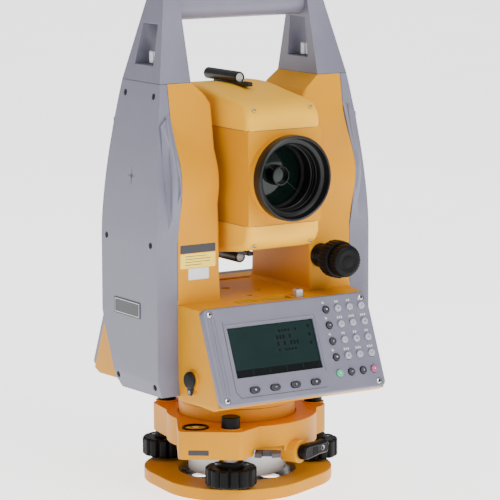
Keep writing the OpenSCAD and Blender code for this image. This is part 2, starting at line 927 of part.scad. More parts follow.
base_plate();
spring_plate();
foot_screw(0);  // foot_screw_1
foot_screw(1);  // foot_screw_2
foot_screw(2);  // foot_screw_3
tribrach_body();
centre_drum();
screw_caps();
clamp_ring();
lock_lever();
vial_cup();
vial_glass();
centring_flange();
axis_bush();
horizontal_circle();
alidade_frame();
axis_spindle();
left_cover();
right_cover();
housing_screws();
carrying_handle();
handle_screw(-1);  // handle_screw_left
handle_screw(1);  // handle_screw_right
main_board();
trunnion_bearings();
plate_vial();
battery_pack();
battery_latch();
port_cap();
plummet_tube();
plummet_eyepiece();
front_housing();
rear_housing();
front_panel();
rear_panel();
displays();
key_boards();
front_function_keys();
front_arrow_keys();
front_number_keys();
front_enter_key();
front_power_key();
rear_function_keys();
rear_pad_keys();
vertical_clamp_ring();
vertical_tangent_knob();
horizontal_clamp_ring();
horizontal_tangent_knob();
telescope_housing();
telescope_top_cover();
telescope_bottom_cover();
trunnion_shafts();
vertical_circle();
objective_ring();
objective_lens();
inner_barrel();
collimators();
focus_ring();
focus_lens_cell();
eyepiece();
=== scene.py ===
"""Visual model of the total station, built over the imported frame. Lengths below are in millimetres."""
import json
import math

import bmesh
import bpy
from mathutils import Matrix, Vector

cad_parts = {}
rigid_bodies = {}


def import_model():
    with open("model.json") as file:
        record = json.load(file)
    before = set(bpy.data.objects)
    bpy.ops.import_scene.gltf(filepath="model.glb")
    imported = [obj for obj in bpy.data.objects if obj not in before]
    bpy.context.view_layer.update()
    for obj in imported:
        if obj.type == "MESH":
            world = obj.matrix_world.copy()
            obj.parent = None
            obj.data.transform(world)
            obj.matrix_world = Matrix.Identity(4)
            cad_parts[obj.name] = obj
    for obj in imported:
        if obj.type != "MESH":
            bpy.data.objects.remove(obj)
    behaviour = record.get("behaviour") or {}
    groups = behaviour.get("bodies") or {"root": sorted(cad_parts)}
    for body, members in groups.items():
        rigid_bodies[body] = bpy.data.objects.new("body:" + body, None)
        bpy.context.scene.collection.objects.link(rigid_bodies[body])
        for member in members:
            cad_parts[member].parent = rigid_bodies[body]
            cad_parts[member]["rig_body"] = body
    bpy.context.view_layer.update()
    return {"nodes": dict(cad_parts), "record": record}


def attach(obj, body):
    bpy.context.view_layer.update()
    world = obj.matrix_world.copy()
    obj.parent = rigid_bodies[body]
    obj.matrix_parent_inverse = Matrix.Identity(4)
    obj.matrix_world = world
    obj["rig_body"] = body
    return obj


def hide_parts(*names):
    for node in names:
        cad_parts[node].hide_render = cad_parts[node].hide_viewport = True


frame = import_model()
NODES = frame["nodes"]

MM = 0.001
TRUNNION = 206.0
FRAME_X = 65
FACE_Y = 35
HANDLE_Z = 265
TAPER_Z, TAPER = 170, 11.5
BULGE, BULGE_HALF = 9, 40
COVER_X, COVER_TAPER_Z = 80.0, 160
SCOPE_X, SCOPE_FRONT, SCOPE_REAR = 27, 58, 50
SCREEN_AT = (-14.8, 1.5)
X_AXIS = Vector((1, 0, 0))
Z_AXIS = Vector((0, 0, 1))


# ---------------------------------------------------------------- materials

def linear(red, green, blue):
    """Linear colour from display values of 0 to 255."""
    def one(c):
        c /= 255
        return c / 12.92 if c <= 0.04045 else ((c + 0.055) / 1.055) ** 2.4
    return one(red), one(green), one(blue), 1.0


def finish_material(name, colour, other, rough=(0.35, 0.45), mottle=60, grain=None, metallic=0.0,
                    coat=0.0, specular=0.5, stretch=None, alpha=1.0, transmission=0.0, emission=0.0):
    """Principled finish with mottled colour and roughness, and a fine grain of (scale, height in mm)."""
    m = bpy.data.materials.new(name)
    m.use_nodes = True
    nodes, links = m.node_tree.nodes, m.node_tree.links
    shader = nodes["Principled BSDF"]
    shader.inputs["Metallic"].default_value = metallic
    shader.inputs["Specular IOR Level"].default_value = specular
    shader.inputs["Coat Weight"].default_value = coat
    shader.inputs["Coat Roughness"].default_value = 0.12
    shader.inputs["Transmission Weight"].default_value = transmission
    shader.inputs["Alpha"].default_value = alpha
    coords = nodes.new("ShaderNodeTexCoord")
    mapping = nodes.new("ShaderNodeMapping")
    mapping.inputs["Scale"].default_value = stretch or (1, 1, 1)
    links.new(coords.outputs["Object"], mapping.inputs["Vector"])
    cloud = nodes.new("ShaderNodeTexNoise")
    cloud.inputs["Scale"].default_value = mottle
    cloud.inputs["Detail"].default_value = 6
    cloud.inputs["Roughness"].default_value = 0.6
    links.new(mapping.outputs["Vector"], cloud.inputs["Vector"])
    ramp = nodes.new("ShaderNodeValToRGB")
    ramp.color_ramp.elements[0].position = 0.3
    ramp.color_ramp.elements[0].color = colour
    ramp.color_ramp.elements[1].position = 0.7
    ramp.color_ramp.elements[1].color = other
    links.new(cloud.outputs["Fac"], ramp.inputs["Fac"])
    links.new(ramp.outputs["Color"], shader.inputs["Base Color"])
    if emission:
        links.new(ramp.outputs["Color"], shader.inputs["Emission Color"])
        shader.inputs["Emission Strength"].default_value = emission
    spread = nodes.new("ShaderNodeMapRange")
    spread.inputs["From Min"].default_value = 0.3
    spread.inputs["From Max"].default_value = 0.7
    spread.inputs["To Min"].default_value = rough[0]
    spread.inputs["To Max"].default_value = rough[1]
    links.new(cloud.outputs["Fac"], spread.inputs["Value"])
    links.new(spread.outputs["Result"], shader.inputs["Roughness"])
    if grain:
        fine = nodes.new("ShaderNodeTexNoise")
        fine.inputs["Scale"].default_value = grain[0]
        fine.inputs["Detail"].default_value = 3
        links.new(mapping.outputs["Vector"], fine.inputs["Vector"])
        bump = nodes.new("ShaderNodeBump")
        bump.inputs["Strength"].default_value = 0.6
        bump.inputs["Distance"].default_value = grain[1] * MM
        links.new(fine.outputs["Fac"], bump.inputs["Height"])
        links.new(bump.outputs["Normal"], shader.inputs["Normal"])
    return m


YELLOW = finish_material("yellow_paint", (0.60, 0.255, 0.0, 1), (0.63, 0.268, 0.001, 1), (0.4, 0.48), 40,
                         (900, 0.02), specular=0.16)
PALE_YELLOW = finish_material("pale_yellow_cover", (0.88, 0.44, 0.012, 1), (0.91, 0.46, 0.016, 1),
                              (0.42, 0.52), 40, (1400, 0.02), specular=0.25)
GREY = finish_material("grey_plastic", linear(106, 105, 121), linear(112, 111, 127), (0.36, 0.46), 50,
                       (2400, 0.035))
BLACK = finish_material("black_plastic", linear(6, 6, 7), linear(11, 11, 12), (0.36, 0.48), 80,
                        (2600, 0.03), specular=0.12)
ANODISED = finish_material("black_anodised", linear(10, 10, 11), linear(17, 17, 18), (0.3, 0.42), 90,
                           (3200, 0.012), specular=0.3)
# Matt black: the real black paint lining the telescope bore, and also painted shade in the screw cross
# recesses and the vial adjuster socket.
BLACK_LINING_AND_RECESS_SHADE = finish_material("matt_black_lining_and_recess_shade", linear(5, 6, 6), linear(9, 10, 10), (0.5, 0.65), 120,
                              (3000, 0.01), specular=0.15)
RUBBER = finish_material("black_rubber", linear(12, 12, 13), linear(19, 19, 20), (0.6, 0.75), 120,
                         (1800, 0.04), specular=0.3)
STEEL = finish_material("turned_steel", linear(190, 190, 192), linear(214, 214, 216), (0.22, 0.34), 220,
                        (2600, 0.01), metallic=1.0, stretch=(1, 1, 9))
CHROME = finish_material("plated_screw", linear(206, 206, 208), linear(228, 228, 230), (0.14, 0.24), 300,
                         (2600, 0.006), metallic=1.0)
DRUM = finish_material("satin_metal", linear(196, 202, 206), linear(212, 216, 220), (0.35, 0.45), 90,
                       (1600, 0.01), metallic=0.55, stretch=(1, 1, 6))
BRASS = finish_material("dull_brass", linear(170, 160, 120), linear(190, 180, 140), (0.3, 0.45), 160,
                        (2400, 0.01), metallic=0.9)
SCREEN = finish_material("display_face", linear(14, 33, 32), linear(18, 38, 37), (0.12, 0.18), 30,
                         (400, 0.002), specular=0.3)
SCREEN_DARK = finish_material("display_band", linear(4, 8, 9), linear(7, 11, 12), (0.12, 0.18), 40,
                              (400, 0.002), specular=0.3)
GLASS_COAT = finish_material("coated_lens", linear(8, 20, 17), linear(12, 28, 23), (0.06, 0.1), 20,
                             (60, 0.002), specular=0.35)
LENS_PALE = finish_material("pale_lens", linear(168, 172, 172), linear(196, 200, 198), (0.1, 0.2), 200,
                            (900, 0.006), coat=0.6)
CIRCLE_GLASS = finish_material("reading_circle", linear(120, 150, 140), linear(140, 170, 160), (0.05, 0.1),
                               60, (300, 0.003), coat=0.5, transmission=0.3)
VIAL_LIQUID = finish_material("vial_liquid", linear(150, 168, 96), linear(162, 180, 106), (0.06, 0.1), 60,
                              (200, 0.003), coat=0.6, transmission=0.25)
BUBBLE = finish_material("vial_bubble", linear(226, 236, 190), linear(236, 244, 206), (0.04, 0.08), 90,
                         (200, 0.003), coat=0.4)
WHITE_INK = finish_material("white_marking", linear(190, 192, 198), linear(200, 202, 206), (0.5, 0.6), 300,
                            (2600, 0.006))
# Dark grey for print and dark joints; also used as painted shade on the ring stop clip and in the cross
# recesses of the telescope screws.
DARK_INK_AND_SHADE = finish_material("dark_marking_and_painted_shade", linear(60, 60, 68), linear(74, 74, 82), (0.5, 0.6), 300,
                           (2600, 0.006))
PALE_KEY = finish_material("pale_key", linear(150, 154, 168), linear(160, 164, 176), (0.5, 0.62), 140,
                           (1800, 0.02))
DARK_KEY = finish_material("dark_key", linear(26, 26, 36), linear(34, 34, 44), (0.42, 0.54), 140,
                           (1800, 0.02))
GREEN_KEY = finish_material("green_key", linear(66, 166, 122), linear(80, 178, 134), (0.45, 0.56), 140,
                            (1800, 0.02))
RED_KEY = finish_material("red_key", linear(150, 76, 108), linear(162, 86, 118), (0.45, 0.56), 140,
                          (1800, 0.02))
BOARD = finish_material("circuit_board", linear(20, 84, 52), linear(28, 100, 62), (0.35, 0.5), 140,
                        (900, 0.02))
LABEL_YELLOW = finish_material("label_yellow", linear(250, 214, 50), linear(253, 220, 60), (0.3, 0.4), 90,
                               (1200, 0.006))
LABEL_WHITE = finish_material("label_white", linear(214, 216, 224), linear(226, 228, 234), (0.35, 0.45), 90,
                              (1200, 0.006))
LABEL_DARK = finish_material("label_dark", linear(30, 30, 36), linear(38, 38, 44), (0.3, 0.42), 90,
                             (1200, 0.008))
FLOOR = finish_material("floor", (0.92, 0.92, 0.92, 1), (0.95, 0.95, 0.95, 1), (0.5, 0.6), 4, (60, 0.02),
                        emission=2.2)


# ---------------------------------------------------------------- mesh helpers

def place(name, bm, material, body, matrix=None, sharp=35, flat=True):
    """Makes an object from a bmesh in millimetres, moved by matrix, riding on a body."""
    if matrix is not None:
        bm.transform(matrix)
    bm.transform(Matrix.Scale(MM, 4))
    bmesh.ops.recalc_face_normals(bm, faces=bm.faces)
    mesh = bpy.data.meshes.new(name)
    bm.to_mesh(mesh)
    bm.free()
    mesh.materials.append(material)
    obj = bpy.data.objects.new(name, mesh)
    bpy.context.scene.collection.objects.link(obj)
    smooth(obj, sharp, flat)
    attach(obj, body)
    return obj


def smooth(obj, sharp=35, flat=True):
    """Smooth shading with hard edges over the angle, and flat faces that stay flat."""
    obj.data.shade_smooth()
    obj.data.set_sharp_from_angle(angle=math.radians(sharp))
    if flat:
        even = obj.modifiers.new("even", "WEIGHTED_NORMAL")
        even.keep_sharp = True


def soft(node, material, rounds=(), width=0.4, segments=2, angle=28, slot=None, tail=None):
    """Copy of a CAD node with rounded edges. rounds holds (test on an edge's middle, radius, segments)."""
    source = NODES[node]
    bm = bmesh.new()
    bm.from_mesh(source.data)
    bm.transform(Matrix.Scale(1 / MM, 4))
    bmesh.ops.remove_doubles(bm, verts=bm.verts, dist=0.002)
    bmesh.ops.dissolve_limit(bm, angle_limit=math.radians(1.0), verts=bm.verts, edges=bm.edges)
    for layer in list(bm.loops.layers.float_vector.values()):
        bm.loops.layers.float_vector.remove(layer)
    done = [(lambda p: True, width, segments)] if width else []
    for test, radius, steps in list(rounds) + done:
        edges = []
        for e in bm.edges:
            if len(e.link_faces) == 2 and e.calc_face_angle(0) > math.radians(angle):
                middle = (e.verts[0].co + e.verts[1].co) / 2
                if test(middle) and e.calc_length() > 0.02:
                    edges.append(e)
        if edges:
            bmesh.ops.bevel(bm, geom=edges, offset=radius, segments=steps, affect="EDGES", profile=0.5,
                            clamp_overlap=True, miter_outer="SHARP")
    if tail:
        tail(bm)
    slot = slot or next(s["material_slot"] for s in frame["record"]["subparts"] if s["node"] == node)
    obj = place("soft_" + node, bm, material, source["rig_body"])
    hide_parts(node)
    return obj


def prism(points, low, high, round_edge=0.0, steps=2):
    """Bmesh of an outline in X and Y raised from low to high, its top and bottom edges rounded."""
    bm = bmesh.new()
    bottom = [bm.verts.new((x, y, low)) for x, y in points]
    top = [bm.verts.new((x, y, high)) for x, y in points]
    n = len(points)
    for i in range(n):
        bm.faces.new((bottom[i], bottom[(i + 1) % n], top[(i + 1) % n], top[i]))
    bm.faces.new(top)
    bm.faces.new(bottom[::-1])
    if round_edge:
        ring = [e for e in bm.edges if abs(e.verts[0].co.z - e.verts[1].co.z) < 1e-6]
        bmesh.ops.bevel(bm, geom=ring, offset=round_edge, segments=steps, affect="EDGES", profile=0.5,
                        clamp_overlap=True)
    return bm


def rounded(width, height, radius, centre=(0, 0), steps=6):
    """Outline of a rounded rectangle."""
    points = []
    for i, (sx, sy) in enumerate(((1, 1), (-1, 1), (-1, -1), (1, -1))):
        for k in range(steps + 1):
            a = math.radians(90 * i + 90 * k / steps)
            points.append((centre[0] + sx * (width / 2 - radius) + radius * math.cos(a),
                           centre[1] + sy * (height / 2 - radius) + radius * math.sin(a)))
    return points


def circle(radius, centre=(0, 0), steps=32):
    return [(centre[0] + radius * math.cos(2 * math.pi * k / steps),
             centre[1] + radius * math.sin(2 * math.pi * k / steps)) for k in range(steps)]


def lathe(profile, steps=64, closed=True):
    """Bmesh of a profile of (radius, height) points turned about Z. A closed profile is a ring."""
    bm = bmesh.new()
    rings = []
    for radius, height in profile:
        if radius < 1e-6:
            rings.append([bm.verts.new((0, 0, height))])
        else:
            rings.append([bm.verts.new((radius * math.cos(2 * math.pi * k / steps),
                                        radius * math.sin(2 * math.pi * k / steps), height))
                          for k in range(steps)])
    pairs = list(zip(rings, rings[1:]))
    if closed:
        pairs.append((rings[-1], rings[0]))
    for a, b in pairs:
        for k in range(steps):
            n = (k + 1) % steps
            if len(a) == 1 and len(b) == 1:
                continue
            if len(a) == 1:
                bm.faces.new((a[0], b[n], b[k]))
            elif len(b) == 1:
                bm.faces.new((a[k], a[n], b[0]))
            else:
                bm.faces.new((a[k], a[n], b[n], b[k]))
    return bm


def rod(start, end, radius, steps=12, dome=0.3):
    """Bmesh of a thin rod with rounded ends between two points."""
    start, end = Vector(start), Vector(end)
    length = (end - start).length
    cut = dome * radius
    bm = lathe([(0, 0), (radius - cut, 0), (radius, cut), (radius, length - cut), (radius - cut, length),
                (0, length)], steps, closed=False)
    turn = (end - start).to_track_quat("Z", "Y").to_matrix().to_4x4()
    bm.transform(Matrix.Translation(start) @ turn)
    return bm


def merge(target, *others):
    """Adds the other bmeshes to the first."""
    for other in others:
        mesh = bpy.data.meshes.new("part")
        other.to_mesh(mesh)
        other.free()
        target.from_mesh(mesh)
        bpy.data.meshes.remove(mesh)
    return target


def towards(origin, direction, up=Z_AXIS):
    """Matrix that takes local Z to a direction and local Y near up."""
    z = Vector(direction).normalized()
    x = Vector(up).cross(z)
    x = x.normalized() if x.length > 1e-6 else X_AXIS
    y = z.cross(x)
    m = Matrix((x, y, z)).transposed().to_4x4()
    return Matrix.Translation(Vector(origin)) @ m


def on_panel(turn=0.0):
    """Local frame of a keyboard: X to the right, Y up the slope, Z out of the panel."""
    return (Matrix.Rotation(math.radians(turn), 4, "Z") @ Matrix.Translation((0, -70.15, 98.6))
            @ Matrix.Rotation(math.radians(67.5), 4, "X"))


def screw_head(radius, height, recess=0.55):
    """Bmesh of a domed screw head with a cross recess, its top at z = height; the recess is a thin raised
    cross over the head, which the callers colour dark as painted shade.
    """
    bm = lathe([(0, 0), (radius * 0.86, 0), (radius, 0.14 * height), (radius, 0.6 * height),
                (radius * 0.8, 0.9 * height), (radius * 0.5, height), (0, height)], 32, closed=False)
    cross = []
    arm, thin = radius * recess, radius * 0.17
    for sx, sy in ((1, 1), (-1, 1), (-1, -1), (1, -1)):
        corner = [(sx * arm, sy * thin), (sx * thin, sy * thin), (sx * thin, sy * arm)]
        cross += corner if sx * sy > 0 else corner[::-1]
    return bm, prism(cross, height * 0.86, height * 1.02)


def stack(levels, outline):
    """Bmesh lofted through an outline that shrinks: levels of (height, inset)."""
    bm = bmesh.new()
    rings = [[bm.verts.new((x, y, z)) for x, y in outline(inset)] for z, inset in levels]
    n = len(rings[0])
    for a, b in zip(rings, rings[1:]):
        for i in range(n):
            bm.faces.new((a[i], a[(i + 1) % n], b[(i + 1) % n], b[i]))
    bm.faces.new(rings[0][::-1])
    bm.faces.new(rings[-1])
    return bm


def fluted(radius, count, depth, share=0.45, per=12):
    """Outline with round grooves, as a function of the inset."""
    def outline(inset):
        points = []
        for k in range(count * per):
            phase = (k % per) / per
            off = abs(phase - 0.5) / (share / 2)
            dip = depth * (0.5 + 0.5 * math.cos(math.pi * off)) if off < 1 else 0
            r = radius - inset - dip
            a = 2 * math.pi * k / (count * per)
            points.append((r * math.cos(a), r * math.sin(a)))
        return points
    return outline


def pill(width, height, radius, centre=(0, 0), steps=8):
    """Rounded rectangle as a function of the inset."""
    def outline(inset):
        r = max(radius - inset, 0.02)
        return rounded(width - 2 * inset, height - 2 * inset, r, centre, steps)
    return outline


def bulged(low, high, edge, crown=0.0):
    """Levels of a block with rounded edges and a slightly domed top."""
    levels = [(low, 0)]
    for k in range(5):
        a = math.radians(90 * k / 4)
        levels.append((high - crown - edge + edge * math.sin(a), edge - edge * math.cos(a)))
    if crown:
        levels.append((high - crown * 0.4, edge + 2.2 * crown))
        levels.append((high, edge + 4 * crown))
    return levels


def dress(node, material):
    """Gives a CAD node that stays in view, or inside, its finish."""
    mesh = NODES[node].data
    mesh.materials.clear()
    mesh.materials.append(material)


# ---------------------------------------------------------------- levelling base

ARM = -36.0


def arm(i, radius=56.0, z=0.0, extra=0.0):
    return (Matrix.Rotation(math.radians(ARM + 120 * i + extra), 4, "Z")
            @ Matrix.Translation((0, -radius, z)))


def build_base():
    soft("base_plate", YELLOW, width=1.0, segments=3)
    soft("spring_plate", STEEL, width=0.3)
    thread = lathe([(6.75 + (0.0 if k % 2 else 0.55), 0.3 + k * 0.57) for k in range(20)]
                   + [(7.6, 11.4), (7.6, 0.3)], 48)
    place("tripod_thread_turns", thread, STEEL, "base")
    for i in range(3):
        seat = lathe([(4.3, 8.02), (4.3, 8.5), (6.4, 8.5), (7.0, 8.02)], 48)
        place(f"foot_seat_ring_{i + 1}", seat, STEEL, "base", arm(i))


def build_foot_screw(i):
    body = "foot_screw_" + "abc"[i]
    levels = [(10.0, 1.2), (10.3, 0.5), (11.0, 0.0), (20.6, 0.0), (21.4, 0.4), (21.85, 1.2), (21.9, 2.4),
              (21.6, 3.2), (21.6, 8.6)]
    knob = stack(levels, fluted(16.4, 14, 1.5, 0.5))
    obj = place(f"foot_screw_knob_{i + 1}", knob, BLACK, body, arm(i))
    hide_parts(f"foot_screw_{i + 1}")
    collar = lathe([(5.2, 20.0), (8.6, 20.0), (8.6, 22.2), (8.0, 22.8), (8.0, 24.7), (7.5, 25.2),
                    (5.2, 25.2)], 48)
    place(f"foot_screw_collar_{i + 1}", collar, BLACK, body, arm(i))
    turns = [(0, 2.6), (2.2, 2.6), (3.6, 3.1), (4.2, 4.4), (4.2, 9.6), (4.2, 10.4), (4.6, 24.8)]
    z = 25.0
    while z < 42.8:
        turns += [(5.0, z), (4.55, z + 0.375)]
        z += 0.75
    turns += [(4.9, 43.3), (4.0, 43.4), (4.0, 49.3), (3.5, 49.8), (0, 49.8)]
    spindle = lathe(turns, 40, closed=False)
    place(f"foot_screw_spindle_{i + 1}", spindle, STEEL, body, arm(i))
    for k in range(3):
        a = math.radians(120 * k + 30)
        pin = lathe([(0, 21.55), (1.0, 21.55), (1.25, 21.7), (0.95, 21.72), (0, 21.62)], 20, closed=False)
        place(f"foot_screw_mark_{i + 1}_{k}", pin, STEEL, body,
              arm(i) @ Matrix.Translation((11.4 * math.cos(a), 11.4 * math.sin(a), 0)))


def build_tribrach():
    soft("tribrach_body", YELLOW, width=1.1, segments=3)
    soft("centre_drum", DRUM, width=0.4)
    soft("screw_caps", BLACK, width=0.9, segments=3)
    soft("centring_flange", YELLOW, width=0.4)
    dress("axis_bush", STEEL)
    dress("horizontal_circle", CIRCLE_GLASS)
    soft("clamp_ring", STEEL, width=0.2)
    for i in range(3):
        boss = lathe([(6.05, 46.02), (7.4, 46.02), (7.4, 46.4), (7.0, 46.8), (6.05, 46.8)], 40)
        place(f"cap_seat_{i + 1}", boss, YELLOW, "tribrach", arm(i))
    turned = Matrix.Rotation(math.radians(ARM), 4, "Z")
    spot = turned @ Matrix.Translation((-22.6, -54.2, 0))
    cup = lathe([(7.05, 42.2), (8.6, 42.2), (8.6, 46.6), (8.3, 46.9), (7.5, 46.9), (7.05, 46.3)], 56)
    obj = place("vial_ring", cup, BLACK, "tribrach", spot)
    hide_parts("vial_cup")
    dome = lathe([(0, 42.2), (7.0, 42.2), (7.0, 45.9), (5.4, 46.3), (3.4, 46.5), (0, 46.6)], 48,
                 closed=False)
    obj = place("vial_dome", dome, VIAL_LIQUID, "tribrach", spot)
    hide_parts("vial_glass")
    line = lathe([(3.05, 46.5), (3.45, 46.46), (3.45, 46.56), (3.05, 46.6)], 48)
    place("vial_circle_line", line, DARK_INK_AND_SHADE, "tribrach", spot)
    bubble = lathe([(0, 46.5), (2.3, 46.5), (2.2, 46.66), (1.2, 46.74), (0, 46.76)], 32, closed=False)
    place("vial_air", bubble, BUBBLE, "tribrach", spot @ Matrix.Translation((0.3, -0.2, 0)))
    # The clip and its teeth take the dark grey: the clip is dark metal, darkened further as painted shade.
    clip = prism([(15, -57.5), (19.5, -58.5), (19.5, -53), (26, -53.5), (26, -58), (31.5, -56), (31.5, -46),
                  (15, -46)], 27.6, 30.2, 0.3)
    place("ring_stop_clip", clip, DARK_INK_AND_SHADE, "tribrach", turned)
    for k in range(6):
        tooth = prism(rounded(0.7, 2.2, 0.2, (20.6 + 1.0 * k, -53.9)), 27.9, 31.6, 0.1)
        place(f"ring_stop_tooth_{k}", tooth, DARK_INK_AND_SHADE, "tribrach", turned)
    lever_at = (Matrix.Rotation(math.radians(ARM + 60), 4, "Z") @ Matrix.Translation((-9.5, -56, 27))
                @ Matrix.Rotation(math.radians(90), 4, "X"))
    def lever_outline(inset):
        points = []
        for k in range(13):
            a = math.radians(90 + 180 * k / 12)
            points.append(((5 - inset) * math.cos(a), (5 - inset) * math.sin(a)))
        points += [(8, -4.6 + inset), (14, -4.1 + inset), (19, -4.3 + inset)]
        for k in range(9):
            a = math.radians(-80 + 160 * k / 8)
            points.append((21 + (4.5 - inset) * math.cos(a), (4.5 - inset) * math.sin(a)))
        points += [(14, 4.3 - inset), (8, 4.7 - inset)]
        return points
    blade = stack([(0.05, 0.6), (0.5, 0.1), (1.2, 0), (4.2, 0), (5.3, 0.5), (5.9, 1.5), (5.6, 2.6)],
                  lever_outline)
    obj = place("lever_blade", blade, BLACK, "lever", lever_at)
    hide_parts("lock_lever")
    pivot = rod((0, 0, -14), (0, 0, 0.4), 3.0, 32)
    place("lever_pivot", pivot, STEEL, "lever", lever_at)
    screw = lathe([(0, 5.45), (1.1, 5.45), (1.5, 5.75), (1.7, 5.8), (1.7, 5.5), (0, 5.3)], 24, closed=False)
    screw_at = lever_at @ Matrix.Translation((17, 0, 0))
    place("lever_set_screw", screw, STEEL, "lever", screw_at)
    ridge = merge(*[rod((x, -2.6, 5.5), (x, 2.6, 5.5), 0.35, 10) for x in (6, 7.6, 9.2, 10.8)])
    place("lever_ridges", ridge, BLACK, "lever", lever_at)


# ---------------------------------------------------------------- turning body

def build_body():
    soft("alidade_frame", YELLOW, rounds=[
        (lambda p: abs(abs(p.x) - 34) < 2.2 and abs(p.y) > 20 and p.z > 133, 2.0, 4),
        (lambda p: abs(abs(p.x) - 34) < 14 and abs(p.y) > 18 and p.z > 240, 2.0, 3),
        (lambda p: abs(p.z - 126) < 0.5 and abs(p.y) > 34, 1.0, 2),
    ], width=0.35, segments=2)
    for s, name in ((-1, "left"), (1, "right")):
        wall = prism(rounded(20.8, 44.8, 1.0), 0, 1.3, 0.2)
        place(f"body_side_wall_{name}", wall, YELLOW, "alidade",
              towards((s * 63.4, 20.4, 98), (s, 0, 0)))
    dress("axis_spindle", STEEL)
    dress("main_board", BOARD)
    dress("trunnion_bearings", STEEL)
    outer = lambda p: abs(p.x) > 69 and (abs(p.y) > 11 or p.z < 100)
    soft("left_cover", GREY, rounds=[(outer, 2.6, 5)], width=0.3)
    battery_door = lambda p: abs(p.y) < 27.2 and 99 < p.z < 192
    knob_hole = lambda p: abs(p.y - 6) < 6.5 and abs(p.z - 86) < 6.5
    soft("right_cover", GREY, rounds=[
        (lambda p: outer(p) and not battery_door(p) and not knob_hole(p), 2.6, 5)], width=0.3)
    window = lambda p: abs(p.y) < 11.8 and 274 < p.z < 301.6
    soft("carrying_handle", GREY, rounds=[
        (lambda p: p.z > 266 and abs(p.x) > 47.8 and abs(p.y) > 8.8 and not window(p), 2.6, 4),
        (window, 0.8, 3),
    ], width=0.3)
    for s, name in ((-1, "left"), (1, "right")):
        head = stack([(275.85, 0.6), (276.4, 0), (283.0, 0), (283.7, 0.4), (284.0, 1.2), (283.8, 2.0),
                      (283.8, 3.4)], fluted(5.8, 20, 0.45, 0.6, 8))
        obj = place(f"handle_screw_head_{name}", head, DRUM, f"handle_screw_{name[0]}",
                    Matrix.Translation((s * 57, 0, 0)))
        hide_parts(f"handle_screw_{name}")
        turns = [(0, 254.0), (2.4, 254.0)]
        z = 254.6
        while z < 274.6:
            turns += [(3.0, z), (2.6, z + 0.5)]
            z += 1.0
        shank = lathe(turns + [(3.0, 275.2), (3.0, 276.2), (0, 276.2)], 32, closed=False)
        place(f"handle_screw_shank_{name}", shank, STEEL, f"handle_screw_{name[0]}",
              Matrix.Translation((s * 57, 0, 0)))


def side_y(z):
    """Half depth of a standard at its outer side, with the bulge at the trunnion."""
    depth = FACE_Y
    if z > TAPER_Z:
        depth -= TAPER * ((z - TAPER_Z) / (HANDLE_Z - TAPER_Z)) ** 1.5
    if abs(z - TRUNNION) < BULGE_HALF:
        depth += BULGE * math.cos(math.radians(90 * (z - TRUNNION) / BULGE_HALF)) ** 2
    return depth


def tube_of(rings):
    """Closed bmesh through a list of rings of points."""
    bm = bmesh.new()
    rows = [[bm.verts.new(p) for p in ring] for ring in rings]
    count = len(rows[0])
    for a, b in zip(rows, rows[1:]):
        for i in range(count):
            bm.faces.new((a[i], a[(i + 1) % count], b[(i + 1) % count], b[i]))
    bm.faces.new(rows[0])
    bm.faces.new(rows[-1][::-1])
    return bm


def cover_line(s, t):
    """Thin dark strip along the joint of a cover and the yellow frame."""
    def ring(z):
        y = t * (side_y(z) + 0.05)
        west, east = s * (FRAME_X - 0.3), s * (FRAME_X + 0.15)
        return (west, y, z), (east, y, z), (east, y - t * 1.2, z), (west, y - t * 1.2, z)
    return tube_of([ring(130 + 5 * k) for k in range(28)])


def cover_lip(s, t):
    """Rounded lip that fades out at both ends of a cover's bulge."""
    def ring(k):
        z = 169 + 3.8 * k
        swell = math.sin(math.pi * (k + 0.4) / 20.8)
        y = side_y(z) * 0.617 + 32 * 0.383 + 1.3 * swell - 0.7
        r = 2.5 * swell ** 0.6
        turns = [2 * math.pi * i / 20 for i in range(20)]
        return [(s * (68.3 + r * math.cos(a)), t * (y + r * math.sin(a)), z) for a in turns]
    return tube_of([ring(k) for k in range(21)])


def build_seams():
    """Dark lines between the shells, and the lips of the covers."""
    half = 23.56
    low, high = HANDLE_Z - 0.2, HANDLE_Z + 0.2
    for s, name in ((-1, "left"), (1, "right")):
        for t in (-1, 1):
            end = "front" if t < 0 else "back"
            place(f"cover_line_{name}_{end}", cover_line(s, t), DARK_INK_AND_SHADE, "alidade")
        for t in (-1, 1):
            end = "front" if t < 0 else "back"
            place(f"cover_lip_{name}_{end}", cover_lip(s, t), GREY, "alidade")
        inner, outer = s * 47.55, s * 70.06
        line = prism([(inner, -half), (outer, -half), (outer, half), (inner, half)], low, high)
        place(f"handle_line_{name}", line, DARK_INK_AND_SHADE, "alidade")


def cover_x(z):
    """Distance of a cover's outer face from the vertical axis."""
    if z < COVER_TAPER_Z:
        return COVER_X
    return COVER_X - 10 * ((z - COVER_TAPER_Z) / (HANDLE_Z - COVER_TAPER_Z)) ** 1.7


def build_screws():
    spots = [(-17.5, 257), (17.5, 257), (-27, 165), (28.5, 165), (-30, 75), (16, 76)]
    first = None
    for s, side in ((-1, "l"), (1, "r")):
        for k, (y, z) in enumerate(spots):
            head, cross = screw_head(1.85, 1.1)
            m = towards((s * (cover_x(z) - 1.4), y, z), (s, 0, 0))
            obj = place(f"cover_screw_{side}{k}", head, BLACK, "alidade", m)
            # The dark cross on each cover screw is painted shade standing for its cross recess.
            place(f"cover_screw_cross_{side}{k}", cross, BLACK_LINING_AND_RECESS_SHADE, "alidade", m)
            first = first or obj
    for turn in (0, 180):
        for x in (-57, 57):
            for y in (-27.6, 27.6):
                head, cross = screw_head(2.0, 1.25)
                m = on_panel(turn) @ Matrix.Translation((x, y, -1.2))
                spot = f"{turn}_{x}_{int(y)}"
                place(f"panel_screw_{spot}", head, CHROME, "alidade", m)
                # The dark cross on each chrome panel screw is painted shade standing for its cross recess.
                place(f"panel_screw_cross_{spot}", cross, BLACK_LINING_AND_RECESS_SHADE, "alidade", m)
    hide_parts("housing_screws")


# ---------------------------------------------------------------- keyboards

